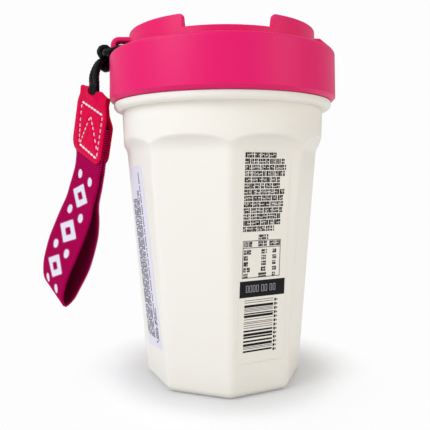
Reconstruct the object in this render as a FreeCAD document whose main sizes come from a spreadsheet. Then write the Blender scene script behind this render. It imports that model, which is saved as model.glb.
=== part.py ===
"""Milk drink bottle with an eight-sided body, a screw lid and a wrist strap.

Millimetres, +Z up. The origin is the middle of the base, on the surface it
stands on. -Y is the front: a ridge between two flat sides faces it, and so
does one of the lid's two notches. The strap hangs on the -X side.
"""
import FreeCAD
import Part
import math
import os

import Sketcher
from FreeCAD import Placement, Rotation, Vector

DOC = FreeCAD.newDocument("MilkDrinkBottle")
SIDES = 8
SIDE_ANGLE = 360.0 / SIDES
Z_AXIS = Vector(0, 0, 1)
TINY = 0.02

# ------------------------------------------------------------------ sizes
SIZES = [
    # body of the bottle
    ("base_flats", 57.0, "across the flats at the base"),
    ("ridge_round", 4.0, "radius along the ridges"),
    ("base_round", 2.8, "radius around the base"),
    ("neck_length", 17.4, "top of the flat sides to the bead"),
    ("scoop_depth", 3.81, "top of a flat side, inside the round neck"),
    ("scoop_radius", 7.2, "hollow curve at the top of each side"),
    ("arch_round", 1.2, "softened edge of each arch"),
    ("neck_taper", 2.6, "lean of the round neck, degrees"),
    ("shoulder_height", 108.4, "top of the bead"),
    ("bead_width", 3.35, "bead, outward from the neck"),
    ("bead_height", 3.0, "bead, top to bottom"),
    ("bead_round", 1.9, "lower edge of the bead"),
    # lid
    ("lid_diameter", 92.0, "outside of the lid"),
    ("lid_height", 19.45, "foot of the lid to its top face"),
    ("lid_wall", 2.6, "skirt of the lid"),
    ("lid_roof", 2.2, "top plate of the lid"),
    ("lid_edge_round", 1.2, "upper edge of the lid"),
    ("lid_foot_bevel", 1.4, "bevel at the foot of the lid"),
    ("lid_overhang", 1.8, "lid outside the bead"),
    ("lid_gap", 0.3, "bead to the foot of the lid"),
    ("screw_clearance", 0.2, "mouth of the bottle to the inside of the lid"),
    ("crown_diameter", 76.2, "outside of the raised ring"),
    ("crown_rim", 1.3, "raised ring at its upper edge"),
    ("crown_foot", 3.3, "raised ring at its foot"),
    ("crown_height", 9.0, "top face of the lid to the top of the ring"),
    ("crown_floor", 0.9, "top face of the lid to the floor in the ring"),
    ("sill_height", 4.2, "top face of the lid to the bottom of a notch"),
    ("notch_angle", 50.0, "width of a notch, degrees"),
    ("notch_corner", 1.5, "rounded upper corners of a notch"),
    ("crown_edge_round", 0.5, "outer edge along the top of the ring"),
    ("lug_width", 5.6, "strap lug, along the rim"),
    ("lug_drop", 0.5, "top of the raised ring to the top of the strap lug"),
    ("lug_leg", 2.3, "strap lug, outer leg"),
    ("lug_bar", 2.0, "strap lug, upper bar"),
    ("lug_corner", 3.4, "strap lug, outer corner"),
    ("lug_edge_round", 0.7, "strap lug, softened edges"),
    ("lug_set_in", 0.3, "strap lug and rib inside the lid's face"),
    ("rib_height", 8.1, "rib opposite the lug"),
    ("rib_shelf", 2.9, "flat top of the rib, outward from the ring"),
    ("rib_slope", 3.9, "drop along the sloping edge of the rib"),
    # labels
    ("label_thickness", 0.15, "both labels"),
    ("label_corner", 1.2, "both labels"),
    ("panel_width", 19.2, "clear label on the right front side"),
    ("panel_height", 75.0, "clear label"),
    ("panel_middle", 50.2, "clear label, height of its middle on the side"),
    ("strip_width", 15.0, "paper label on the left side"),
    ("strip_height", 70.0, "paper label"),
    ("strip_middle", 48.6, "paper label, height of its middle on the side"),
    ("strip_shift", 1.8, "paper label, to the left of the middle"),
    ("strip_skew", 5.5, "paper label, crooked by this angle, degrees"),
    # strap
    ("tab_length", 28.1, "folded tab, top to bottom"),
    ("tab_width", 27.2, "folded tab"),
    ("tab_neck", 23.8, "folded tab, width at the fold"),
    ("tab_neck_length", 4.6, "folded tab, from the fold to its shoulders"),
    ("tab_neck_round", 1.5, "folded tab, ends of the fold"),
    ("tab_shoulder", 3.0, "folded tab, from the narrow part to full width"),
    ("tab_corner", 4.6, "folded tab, lower corners"),
    ("tab_slit", 0.1, "folded tab, between its two layers under the fold"),
    ("tab_pinch", 6.5, "folded tab, fold to where the layers part"),
    ("tab_wedge", 13.0, "folded tab, fold to the end of the webbing"),
    ("tab_sheet", 0.9, "thickness of the tab's sheet"),
    ("tab_notch_play", 0.2, "notch in the fold, beside the cord"),
    ("tab_notch_flare", 0.6, "notch in the fold, wider at its upper edge"),
    ("tab_notch_depth", 2.1, "notch in the fold"),
    ("webbing_width", 24.0, "webbing"),
    ("webbing_shift", 0.7, "webbing, to the right of the tab's middle"),
    ("webbing_thickness", 1.15, "webbing"),
    ("cord_diameter", 2.8, "cord"),
    ("strand_gap", 0.1, "between the two strands in the notch"),
    ("cord_play", 0.25, "cord to what it passes round"),
    ("knot_turn_radius", 1.7, "middle of the cord in a turn of the knot"),
    ("knot_pitch", 5.0, "between the middles of the knot's two lobes"),
    ("knot_gap", 0.2, "knot to the rim of the lid"),
    # how the strap hangs
    ("knot_back", 5.1, "knot, behind the axis"),
    ("knot_rise", 1.1, "knot above the top face of the lid"),
    ("knot_lean", -2.0, "lean of the knot, degrees"),
    ("strap_out", 3.2, "top of the tab, outward from the knot"),
    ("strap_front", 10.57, "top of the tab, to the front of the knot"),
    ("strap_drop", 15.01, "top of the tab below the knot"),
    ("strap_turn", 54.6, "turn of the strap about the vertical, degrees"),
    ("strap_tilt", 2.0, "lean across its face, degrees"),
    ("strap_lean", 20.7, "lean in the plane of its face, degrees"),
]


def make_sheet():
    sheet = DOC.addObject("Spreadsheet::Sheet", "Sizes")
    for row, (alias, number, note) in enumerate(SIZES, start=1):
        sheet.set("A%d" % row, note)
        sheet.set("B%d" % row, "%g" % number)
        sheet.setAlias("B%d" % row, alias)
    DOC.recompute()
    return sheet


SHEET = make_sheet()


def worth(expression):
    """The number that an expression over the sheet comes to."""
    return float(SHEET.evalExpression(expression))


def size(alias):
    return float(getattr(SHEET, alias))


# Heights and radii that several pieces share, as expressions over the sheet.
LID_R = "Sizes.lid_diameter / 2"
BEAD_R = "(%s - Sizes.lid_overhang)" % LID_R
NECK_R = "(%s - Sizes.bead_width)" % BEAD_R
BEAD_FOOT = "(Sizes.shoulder_height - Sizes.bead_height)"
FLAT_TOP = "(%s - Sizes.neck_length)" % BEAD_FOOT
FLAT_TOP_R = "(%s - Sizes.neck_length * tan(Sizes.neck_taper) - Sizes.scoop_depth)" % NECK_R
FLAT_TAPER = "atan((%s - Sizes.base_flats / 2) / %s)" % (FLAT_TOP_R, FLAT_TOP)
LID_BORE = "(Sizes.lid_diameter / 2 - Sizes.lid_wall)"
LID_FOOT = "(Sizes.shoulder_height + Sizes.lid_gap)"
LID_TOP = "(Sizes.shoulder_height + Sizes.lid_gap + Sizes.lid_height)"
LID_CEILING = "(%s - Sizes.lid_roof)" % LID_TOP
CROWN_R = "Sizes.crown_diameter / 2"
CROWN_TOP = "(%s + Sizes.crown_height)" % LID_TOP
LUG_TOP = "(%s - Sizes.lug_drop)" % CROWN_TOP
TAB_DEPTH = "(2 * Sizes.tab_sheet + 2 * Sizes.webbing_thickness)"
FOLD_R = "(Sizes.tab_sheet + Sizes.tab_slit / 2)"
KNOT_R = "(Sizes.knot_turn_radius + Sizes.cord_diameter / 2)"


# ------------------------------------------------------------- sketch tools
def make_body(label):
    body = DOC.addObject("PartDesign::Body", label)
    body.Label = label
    return body


def plane_of(body, role):
    for feature in body.Origin.OriginFeatures:
        if feature.Role == role:
            return feature
    raise ValueError("no such plane: " + role)


def arc_middle(start, end, radius, left):
    """Centre of the arc that runs from start to end with the given radius."""
    chord = end - start
    across = Vector(-chord.y, chord.x, 0).normalize()
    rise = math.sqrt(max(radius ** 2 - (chord.Length / 2) ** 2, 0.0))
    return (start + end) * 0.5 + across * (rise if left else -rise)


def draw_loop(sketch, corners):
    """Draw one closed outline and tie it to the sheet.

    Each corner is (x, y) or (x, y, radius, left): expressions, and with a
    radius the edge to the next corner is an arc that turns left or right.
    """
    spots = [Vector(worth(c[0]), worth(c[1]), 0) for c in corners]
    ends = []
    for index, corner in enumerate(corners):
        start = spots[index]
        end = spots[(index + 1) % len(spots)]
        if len(corner) == 2:
            edge = sketch.addGeometry(Part.LineSegment(start, end), False)
            ends.append((edge, 1, 2))
            continue
        radius, left = corner[2], corner[3]
        middle = arc_middle(start, end, worth(radius), left)
        first, last = (start, end) if left else (end, start)
        angles = [math.atan2(p.y - middle.y, p.x - middle.x) for p in (first, last)]
        circle = Part.Circle(middle, Z_AXIS, worth(radius))
        edge = sketch.addGeometry(Part.ArcOfCircle(circle, angles[0], angles[1]), False)
        ends.append((edge, 1, 2) if left else (edge, 2, 1))
        index_of = sketch.addConstraint(Sketcher.Constraint("Radius", edge, worth(radius)))
        sketch.setExpression("Constraints[%d]" % index_of, radius)
    for index, (edge, first, last) in enumerate(ends):
        follower = ends[(index + 1) % len(ends)]
        sketch.addConstraint(Sketcher.Constraint("Coincident", edge, last, follower[0], follower[1]))
        for kind, expression in (("DistanceX", corners[index][0]), ("DistanceY", corners[index][1])):
            tie = Sketcher.Constraint(kind, -1, 1, edge, first, worth(expression))
            index_of = sketch.addConstraint(tie)
            sketch.setExpression("Constraints[%d]" % index_of, expression)


def make_sketch(body, name, role, loops, turn=0.0):
    """A sketch on one of the body's planes, turned about the plane's own Y."""
    sketch = body.newObject("Sketcher::SketchObject", name)
    sketch.AttachmentSupport = [(plane_of(body, role), "")]
    sketch.MapMode = "FlatFace"
    sketch.AttachmentOffset = Placement(Vector(), Rotation(Vector(0, 1, 0), turn))
    for corners in loops:
        draw_loop(sketch, corners)
    DOC.recompute()
    return sketch


def revolve(body, name, sketch):
    feature = body.newObject("PartDesign::Revolution", name)
    feature.Profile = sketch
    feature.ReferenceAxis = (sketch, ["V_Axis"])
    feature.Angle = 360
    DOC.recompute()
    return feature


def pad(body, name, sketch, length, both_ways=True):
    feature = body.newObject("PartDesign::Pad", name)
    feature.Profile = sketch
    feature.setExpression("Length", length)
    feature.Midplane = both_ways
    DOC.recompute()
    return feature


def fillet(body, name, radius, chosen):
    """Round the edges of the body so far for which chosen(edge) is true."""
    tip = body.Tip
    names = ["Edge%d" % (i + 1) for i, edge in enumerate(tip.Shape.Edges) if chosen(edge)]
    if not names:
        raise ValueError("no edges for " + name)
    feature = body.newObject("PartDesign::Fillet", name)
    feature.Base = (tip, names)
    feature.setExpression("Radius", radius)
    DOC.recompute()
    return feature


def along(edge, shares=(0.1, 0.5, 0.9)):
    span = edge.LastParameter - edge.FirstParameter
    return [edge.valueAt(edge.FirstParameter + share * span) for share in shares]


def radius_of(point):
    return math.hypot(point.x, point.y)


def azimuth_of(point):
    """Degrees round the axis: 0 at the front, 90 at the right."""
    return math.degrees(math.atan2(point.x, -point.y))


# ------------------------------------------------------------------ bottle
def make_bottle():
    body = make_body("bottle")
    outline = [
        ("0", "0"),
        ("%s - %s * tan(Sizes.neck_taper)" % (NECK_R, BEAD_FOOT), "0"),
        (NECK_R, BEAD_FOOT),
        ("%s - Sizes.bead_round" % BEAD_R, BEAD_FOOT, "Sizes.bead_round", True),
        (BEAD_R, "%s + Sizes.bead_round" % BEAD_FOOT),
        (BEAD_R, "Sizes.shoulder_height"),
        ("%s - Sizes.screw_clearance" % LID_BORE, "Sizes.shoulder_height"),
        ("%s - Sizes.screw_clearance" % LID_BORE, "%s - Sizes.screw_clearance" % LID_CEILING),
        ("0", "%s - Sizes.screw_clearance" % LID_CEILING),
    ]
    profile = make_sketch(body, "BottleProfile", "XZ_Plane", [outline], SIDE_ANGLE / 2)
    revolve(body, "BottleTurned", profile)

    below = "5"
    beyond = LID_R
    centre_x = "(%s + Sizes.scoop_radius * cos(%s))" % (FLAT_TOP_R, FLAT_TAPER)
    roof = "(%s + Sizes.scoop_radius * (1 - sin(%s)))" % (FLAT_TOP, FLAT_TAPER)
    cutter = [
        ("Sizes.base_flats / 2 - %s * tan(%s)" % (below, FLAT_TAPER), "-" + below),
        (beyond, "-" + below),
        (beyond, roof),
        (centre_x, roof, "Sizes.scoop_radius", True),
        (FLAT_TOP_R, FLAT_TOP),
    ]
    side = make_sketch(body, "SideProfile", "XZ_Plane", [cutter], SIDE_ANGLE / 2)
    pocket = body.newObject("PartDesign::Pocket", "SideCut")
    pocket.Profile = side
    pocket.Type = "Length"
    pocket.setExpression("Length", "2 * Sizes.lid_diameter")
    pocket.Midplane = True
    DOC.recompute()
    ring = body.newObject("PartDesign::PolarPattern", "EightSides")
    ring.Originals = [pocket]
    ring.Axis = (profile, ["V_Axis"])
    ring.Angle = 360
    ring.Occurrences = SIDES
    body.Tip = ring
    DOC.recompute()

    neck_slope = math.tan(math.radians(size("neck_taper")))
    bead_foot = worth(BEAD_FOOT)

    def on_neck(point):
        return abs(radius_of(point) - worth(NECK_R) + (bead_foot - point.z) * neck_slope) < TINY

    def is_ridge(edge):
        box = edge.BoundBox
        if box.ZMax > bead_foot - TINY or box.ZLength < TINY:
            return False
        turns = [azimuth_of(p) / SIDE_ANGLE for p in along(edge)]
        return all(abs(t - round(t)) < 0.01 for t in turns)

    def is_arch(edge):
        box = edge.BoundBox
        inside = box.ZMin > worth(FLAT_TOP) and box.ZMax < bead_foot - TINY
        return inside and all(on_neck(p) for p in along(edge))

    fillet(body, "Ridges", "Sizes.ridge_round", is_ridge)
    fillet(body, "Arches", "Sizes.arch_round", lambda e: is_arch(e) and not is_straight(e))
    fillet(body, "Base", "Sizes.base_round", lambda e: e.BoundBox.ZMax < TINY)
    return body


def is_straight(edge):
    return isinstance(edge.Curve, Part.Line)


# --------------------------------------------------------------------- lid
def make_lid():
    body = make_body("lid")
    inner_foot = "(%s - Sizes.crown_foot)" % CROWN_R
    floor = "(%s + Sizes.crown_floor)" % LID_TOP
    outline = [
        (LID_BORE, LID_FOOT),
        ("%s - Sizes.lid_foot_bevel" % LID_R, LID_FOOT),
        (LID_R, "%s + Sizes.lid_foot_bevel" % LID_FOOT),
        (LID_R, "%s - Sizes.lid_edge_round" % LID_TOP, "Sizes.lid_edge_round", True),
        ("%s - Sizes.lid_edge_round" % LID_R, LID_TOP),
        (CROWN_R, LID_TOP),
        (CROWN_R, CROWN_TOP),
        ("%s - Sizes.crown_rim" % CROWN_R, CROWN_TOP),
        (inner_foot, floor),
        ("0", floor),
        ("0", LID_CEILING),
        (LID_BORE, LID_CEILING),
    ]
    profile = make_sketch(body, "LidProfile", "XZ_Plane", [outline], SIDE_ANGLE / 2)
    revolve(body, "LidTurned", profile)
    cut_notches(body)
    add_lug(body)
    add_rib(body)
    return body


def cut_notches(body):
    """Two notches through the raised ring, at the front and at the back."""
    sill = "(%s + Sizes.sill_height)" % LID_TOP
    above = "(%s + 1)" % CROWN_TOP
    block = [
        ("%s - 2 * Sizes.crown_foot" % CROWN_R, sill),
        ("%s + 1" % CROWN_R, sill),
        ("%s + 1" % CROWN_R, above),
        ("%s - 2 * Sizes.crown_foot" % CROWN_R, above),
    ]
    section = make_sketch(body, "NotchProfile", "YZ_Plane", [block])
    groove = body.newObject("PartDesign::Groove", "Notch")
    groove.Profile = section
    groove.ReferenceAxis = (section, ["V_Axis"])
    groove.setExpression("Angle", "Sizes.notch_angle")
    groove.Midplane = True
    DOC.recompute()
    pair = body.newObject("PartDesign::PolarPattern", "NotchPair")
    pair.Originals = [groove]
    pair.Axis = (section, ["V_Axis"])
    pair.Angle = 360
    pair.Occurrences = 2
    body.Tip = pair
    DOC.recompute()

    top = worth(CROWN_TOP)
    foot = worth(LID_TOP)

    def is_notch_corner(edge):
        level = edge.BoundBox.ZMin > top - TINY
        return level and edge.BoundBox.ZMax < top + TINY and edge.Length < 2 * size("crown_rim")

    def is_outer_edge(edge):
        outer = all(abs(radius_of(p) - worth(CROWN_R)) < TINY for p in along(edge))
        return outer and edge.BoundBox.ZMin > foot + 1

    fillet(body, "NotchCorners", "Sizes.notch_corner", is_notch_corner)
    fillet(body, "CrownEdge", "Sizes.crown_edge_round", is_outer_edge)


def add_lug(body):
    """The arch that the cord goes through, from the rim to the raised ring."""
    outer = "-(%s - Sizes.lug_set_in)" % LID_R
    inner = "-(%s - Sizes.lug_set_in - Sizes.lug_leg)" % LID_R
    under = "(%s - Sizes.lug_bar)" % LUG_TOP
    rooted = "(%s - Sizes.lid_roof / 2)" % LID_TOP
    hidden = "-(%s - Sizes.crown_rim / 2)" % CROWN_R
    inner_round = "(Sizes.lug_corner - Sizes.lug_bar)"
    arch = [
        (outer, rooted),
        (inner, rooted),
        (inner, "%s - %s" % (under, inner_round), inner_round, False),
        ("%s + %s" % (inner, inner_round), under),
        (hidden, under),
        (hidden, LUG_TOP),
        ("%s + Sizes.lug_corner" % outer, LUG_TOP, "Sizes.lug_corner", True),
        (outer, "%s - Sizes.lug_corner" % LUG_TOP),
    ]
    section = make_sketch(body, "LugProfile", "XZ_Plane", [arch])
    pad(body, "Lug", section, "Sizes.lug_width")
    half = size("lug_width") / 2
    crown = worth(CROWN_R)
    foot = worth(LID_TOP)

    def is_lug_edge(edge):
        points = along(edge)
        on_side = all(abs(abs(p.y) - half) < TINY for p in points)
        clear = all(p.x < -crown - TINY and p.z > foot + TINY for p in points)
        return on_side and clear

    fillet(body, "LugEdges", "Sizes.lug_edge_round", is_lug_edge)


def add_rib(body):
    """A low solid rib on the other side, as wide as the lug."""
    rooted = "(%s - Sizes.lid_roof / 2)" % LID_TOP
    top = "(%s + Sizes.rib_height)" % LID_TOP
    face = "(%s - Sizes.lug_set_in)" % LID_R
    hidden = "(%s - Sizes.crown_rim / 2)" % CROWN_R
    block = [
        (hidden, rooted),
        (face, rooted),
        (face, "%s - Sizes.rib_slope" % top),
        ("%s + Sizes.rib_shelf" % CROWN_R, top),
        (hidden, top),
    ]
    section = make_sketch(body, "RibProfile", "XZ_Plane", [block])
    pad(body, "Rib", section, "Sizes.lug_width")
    half = size("lug_width") / 2
    crown = worth(CROWN_R)
    foot = worth(LID_TOP)

    def is_rib_edge(edge):
        points = along(edge)
        on_side = all(abs(abs(p.y) - half) < TINY for p in points)
        return on_side and all(p.x > crown + TINY and p.z > foot + TINY for p in points)

    fillet(body, "RibEdges", "Sizes.lug_edge_round", is_rib_edge)


# ------------------------------------------------------------------ labels
def side_placement(azimuth):
    """A frame on one flat side: X to the right, Z up the side, -Y outward."""
    turned = Placement(Vector(), Rotation(Z_AXIS, azimuth))
    outward = Placement(Vector(0, -size("base_flats") / 2, 0), Rotation())
    leaning = Placement(Vector(), Rotation(Vector(1, 0, 0), worth(FLAT_TAPER)))
    return turned * outward * leaning


def rounded_block(left, right, low, high, corner):
    """Corners of a rectangle with rounded corners, as expressions."""
    return [
        ("%s + %s" % (left, corner), low),
        ("%s - %s" % (right, corner), low, corner, True),
        (right, "%s + %s" % (low, corner)),
        (right, "%s - %s" % (high, corner), corner, True),
        ("%s - %s" % (right, corner), high),
        ("%s + %s" % (left, corner), high, corner, True),
        (left, "%s - %s" % (high, corner)),
        (left, "%s + %s" % (low, corner), corner, True),
    ]


def make_label(name, azimuth, wide, tall, middle, shift, skew):
    body = make_body(name)
    half_w = "Sizes.%s / 2" % wide
    half_h = "Sizes.%s / 2" % tall
    loop = rounded_block("-" + half_w, half_w, "-" + half_h, half_h, "Sizes.label_corner")
    face = make_sketch(body, name.title().replace("_", "") + "Face", "XZ_Plane", [loop])
    pad(body, name.title().replace("_", "") + "Sheet", face, "Sizes.label_thickness", False)
    place = Placement(Vector(shift, 0, size(middle)), Rotation(Vector(0, 1, 0), -skew))
    body.Placement = side_placement(azimuth) * place
    return body


# ------------------------------------------------------------------- strap
def strap_placement():
    """Where the strap hangs: X across it, Z up it, -Y out of its face."""
    turn = Rotation(Z_AXIS, -size("strap_turn"))
    tilt = Rotation(Vector(1, 0, 0), size("strap_tilt"))
    lean = Rotation(Vector(0, 1, 0), size("strap_lean"))
    down = Vector(size("strap_out"), size("strap_front"), size("strap_drop"))
    return Placement(knot_placement().Base - down, turn * tilt * lean)


def make_tab():
    """A strip folded over the cord and sewn through both ends of the webbing."""
    body = make_body("strap_tab")
    sheet = "Sizes.tab_sheet"
    low = "-Sizes.tab_length"
    wedge = "-Sizes.tab_wedge"
    pinch = "-Sizes.tab_pinch"
    fold = [
        ("0", low),
        (sheet, low),
        (sheet, "-" + FOLD_R),
        ("%s + Sizes.tab_slit" % sheet, "-" + FOLD_R),
        ("%s + Sizes.tab_slit" % sheet, pinch),
        ("%s - %s" % (TAB_DEPTH, sheet), wedge),
        ("%s - %s" % (TAB_DEPTH, sheet), low),
        (TAB_DEPTH, low),
        (TAB_DEPTH, wedge),
        ("2 * " + FOLD_R, pinch),
        ("2 * " + FOLD_R, "-" + FOLD_R, FOLD_R, True),
        (FOLD_R, "0", FOLD_R, True),
        ("0", "-" + FOLD_R),
    ]
    side = make_sketch(body, "TabFold", "YZ_Plane", [fold])
    pad(body, "TabSheet", side, "Sizes.tab_width")

    full = "Sizes.tab_width / 2"
    neck = "Sizes.tab_neck / 2"
    turned = "Sizes.tab_neck_round"
    notch = "(Sizes.cord_diameter + Sizes.strand_gap / 2 + Sizes.tab_notch_play)"
    flared = "(%s + Sizes.tab_notch_flare)" % notch
    corner = "Sizes.tab_corner"
    narrow = "-Sizes.tab_neck_length"
    shoulder = "%s - Sizes.tab_shoulder" % narrow
    far = "Sizes.tab_width"
    around = [
        ("-" + far, "-2 * Sizes.tab_length"),
        (far, "-2 * Sizes.tab_length"),
        (far, far),
        ("-" + far, far),
    ]
    kept = [
        ("-%s + %s" % (full, corner), low),
        ("%s - %s" % (full, corner), low, corner, True),
        (full, "%s + %s" % (low, corner)),
        (full, shoulder),
        (neck, narrow),
        (neck, "-" + turned, turned, True),
        ("%s - %s" % (neck, turned), "0"),
        (flared, "0"),
        (notch, "-Sizes.tab_notch_depth"),
        ("-" + notch, "-Sizes.tab_notch_depth"),
        ("-" + flared, "0"),
        ("-%s + %s" % (neck, turned), "0", turned, True),
        ("-" + neck, "-" + turned),
        ("-" + neck, narrow),
        ("-" + full, shoulder),
        ("-" + full, "%s + %s" % (low, corner), corner, True),
    ]
    front = make_sketch(body, "TabOutline", "XZ_Plane", [around, kept])
    trim = body.newObject("PartDesign::Pocket", "TabTrim")
    trim.Profile = front
    trim.Type = "Length"
    trim.Length = 10 * size("tab_width")
    trim.Midplane = True
    DOC.recompute()
    body.Placement = strap_placement()
    return body


def bend_radii(points, closed=False, share=0.45):
    """The largest sensible tangent arc at each point; none at a loose end."""
    radii = []
    count = len(points)
    for index, corner in enumerate(points):
        if not closed and index in (0, count - 1):
            radii.append(0.0)
            continue
        back = points[index - 1] - corner
        ahead = points[(index + 1) % count] - corner
        turn = math.pi - back.getAngle(ahead)
        radii.append(share * min(back.Length, ahead.Length) / math.tan(turn / 2))
    return radii


def rounded_curves(points, radii, closed=False):
    """Straight runs joined by tangent arcs, in order from the first point."""
    curves = []
    count = len(points)
    spans = []
    for index, corner in enumerate(points):
        if radii[index] <= 0:
            spans.append((corner, None, corner))
            continue
        back = (points[index - 1] - corner).normalize()
        ahead = (points[(index + 1) % count] - corner).normalize()
        half = (math.pi - back.getAngle(ahead)) / 2
        reach = radii[index] * math.tan(half)
        sag = radii[index] / math.cos(half) - radii[index]
        middle = corner + (back + ahead).normalize() * sag
        spans.append((corner + back * reach, middle, corner + ahead * reach))
    for index, (enter, middle, leave) in enumerate(spans):
        if middle is not None:
            curves.append(Part.Arc(enter, middle, leave))
        if closed or index < count - 1:
            curves.append(Part.LineSegment(leave, spans[(index + 1) % count][0]))
    return curves


def draw_rounded(sketch, points, radii):
    """Draw a closed outline of runs and arcs and hold it where it is."""
    first = len(sketch.Geometry)
    curves = rounded_curves(points, radii, True)
    sketch.addGeometry([c if isinstance(c, Part.LineSegment) else as_arc(c) for c in curves], False)
    for index in range(first, first + len(curves)):
        sketch.addConstraint(Sketcher.Constraint("Block", index))


def as_arc(arc):
    return Part.ArcOfCircle(arc.StartPoint, arc.value((arc.FirstParameter + arc.LastParameter) / 2),
                            arc.EndPoint)


def moved_out(points, distance):
    """The corners of an outline moved outward, edge by edge."""
    moved = []
    count = len(points)
    for index, corner in enumerate(points):
        before = (corner - points[index - 1]).normalize()
        after = (points[(index + 1) % count] - corner).normalize()
        first = Vector(before.y, -before.x, 0)
        second = Vector(after.y, -after.x, 0)
        moved.append(corner + (first + second) * (distance / (1 + first.dot(second))))
    return moved


# The eye of the webbing in side view, from where the two layers part: down the
# front, round the fold at the bottom and up the back. Measured from the middle
# of the tab's depth and the lower edge of the tab.
WEBBING_EYE = [
    (0.0, -7.0), (-1.35, -20.5), (-7.4, -44.0), (-9.3, -55.0), (-8.6, -63.0),
    (-6.3, -63.4), (0.7, -45.5), (2.2, -30.5), (0.15, -18.5),
]


def make_webbing():
    """One band, doubled: down the front, round a fold and up the back."""
    thick = size("webbing_thickness")
    front = size("tab_sheet")
    middle = front + thick
    back = middle + thick
    top = -size("tab_wedge")
    low = -size("tab_length")
    eye = [Vector(middle + y, low + z, 0) for y, z in WEBBING_EYE]
    eye_radii = bend_radii(eye, True)
    eye_radii[0] = 0.0
    shell = moved_out(eye, thick)
    shell_radii = [0.0]
    for index in range(1, len(eye)):
        before = eye[index] - eye[index - 1]
        after = eye[(index + 1) % len(eye)] - eye[index]
        outward = before.x * after.y - before.y * after.x > 0
        shell_radii.append(eye_radii[index] + (thick if outward else -thick))
    part_front = meet_upright(shell[1], eye[1] - eye[0], front)
    part_back = meet_upright(shell[-1], eye[-1] - eye[0], back)
    outline = [Vector(front, top, 0), part_front] + shell[1:] + [part_back, Vector(back, top, 0)]
    radii = [0.0, 12.0] + shell_radii[1:] + [12.0, 0.0]

    body = make_body("strap_webbing")
    sketch = make_sketch(body, "WebbingSide", "YZ_Plane", [])
    draw_rounded(sketch, outline, radii)
    draw_rounded(sketch, eye, eye_radii)
    DOC.recompute()
    pad(body, "Webbing", sketch, "Sizes.webbing_width")
    body.Placement = strap_placement() * Placement(Vector(size("webbing_shift"), 0, 0), Rotation())
    print("webbing radii", ["%.1f" % r for r in eye_radii])
    return body


def meet_upright(point, direction, upright):
    """Where the line through the point meets the upright line x = upright."""
    return point + direction * ((upright - point.x) / direction.x)


# -------------------------------------------------------------------- cord
def knot_placement():
    """The knot beside the rim of the lid, a named gap away from it."""
    out = size("lid_diameter") / 2 + size("knot_gap") + worth(KNOT_R)
    back = size("knot_back")
    centre = Vector(-math.sqrt(out ** 2 - back ** 2), back, worth(LID_TOP) + size("knot_rise"))
    return Placement(centre, Rotation(Vector(0, 1, 0), size("knot_lean")))


def make_knot():
    """The knot's outer shape: two lobes, one above the other."""
    body = make_body("cord_knot")
    half = "Sizes.knot_pitch / 2"
    waist = "sqrt((%s) ^ 2 - (%s) ^ 2)" % (KNOT_R, half)
    outline = [
        ("0", "-(%s + %s)" % (half, KNOT_R), KNOT_R, True),
        (waist, "0", KNOT_R, True),
        ("0", "%s + %s" % (half, KNOT_R)),
    ]
    profile = make_sketch(body, "KnotProfile", "XZ_Plane", [outline])
    revolve(body, "KnotTurned", profile)
    body.Placement = knot_placement()
    return body


def make_solid(label, shape):
    feature = DOC.addObject("Part::Feature", label)
    feature.Label = label
    feature.Shape = shape
    return feature


def tube(label, points, knot):
    """A round cord along the points, ending where it enters the knot."""
    radii = bend_radii(points)
    path = Part.Wire([c.toShape() for c in rounded_curves(points, radii)])
    print(label, "radii", ["%.1f" % r for r in radii[1:-1]])
    start = points[0]
    ring = Part.Wire(Part.Circle(start, points[1] - start, size("cord_diameter") / 2).toShape())
    whole = path.makePipeShell([ring], True, False)
    section = math.pi * size("cord_diameter") ** 2 / 4
    print(label, "volume over section times length: %.4f" % (whole.Volume / (section * path.Length)))
    return make_solid(label, whole.cut(knot.Shape))


def make_strand(label, side, knot):
    """One of the two strands from the tab's notch up into the knot's waist."""
    hang = strap_placement()
    tie = knot_placement()
    across = side * (size("cord_diameter") + size("strand_gap")) / 2
    aside = across * Vector(0.62, -0.78, 0)
    low = hang.multVec(Vector(across, 0.35, -size("tab_notch_depth")))
    above = hang.multVec(Vector(across, 0.35, 1.6 + 0.4 * side))
    bow = tie.Base + Vector(-3.5, -7.3, -8.6) + aside + Vector(0, 0, 0.2 * side)
    beside = tie.multVec(Vector(-3.0, -4.0, -3.9)) + aside
    entry = tie.multVec(Vector(-1.9, -1.7, -1.4)) + aside * 0.9
    inside = tie.multVec(Vector(-0.4, -0.2, 0.1)) + aside * 0.6
    return tube(label, [low, above, bow, beside, entry, inside], knot)


def make_loop(knot):
    """The cord from the knot round the outer leg of the lug and back."""
    tie = knot_placement()
    clear = size("cord_diameter") / 2 + size("cord_play")
    beside = size("lug_width") / 2 + clear
    outer = -(size("lid_diameter") / 2 - size("lug_set_in"))
    inner = outer + size("lug_leg")
    reach = -(size("crown_diameter") / 2 + clear)
    level = worth(LID_TOP) + clear
    route = [
        tie.multVec(Vector(0.3, -0.9, 2.3)),
        Vector(outer - clear - 0.6, 0.4, level + 1.1),
        Vector(outer - clear, -beside - 0.4, level - 0.4),
        Vector(inner + 0.4, -beside - 0.05, level + 1.0),
        Vector(reach, -beside + 0.2, level + 2.0),
        Vector(reach, beside - 0.2, level + 2.3),
        Vector(inner + 0.4, beside + 0.1, level + 1.7),
        Vector(outer - 0.8, beside + 0.5, level + 1.8),
        tie.multVec(Vector(0.0, 0.3, 2.2)),
    ]
    return tube("cord_loop", route, knot)


# ------------------------------------------------------------------- build
def make_parts():
    parts = [make_bottle(), make_lid()]
    parts.append(make_label("clear_label", 22.5, "panel_width", "panel_height", "panel_middle", 0.0, 0.0))
    parts.append(make_label("paper_label", -67.5, "strip_width", "strip_height", "strip_middle",
                            -size("strip_shift"), size("strip_skew")))
    parts.append(make_tab())
    parts.append(make_webbing())
    knot = make_knot()
    DOC.recompute()
    parts.append(knot)
    parts.append(make_loop(knot))
    parts.append(make_strand("cord_strand_left", -1, knot))
    parts.append(make_strand("cord_strand_right", 1, knot))
    return parts


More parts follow.
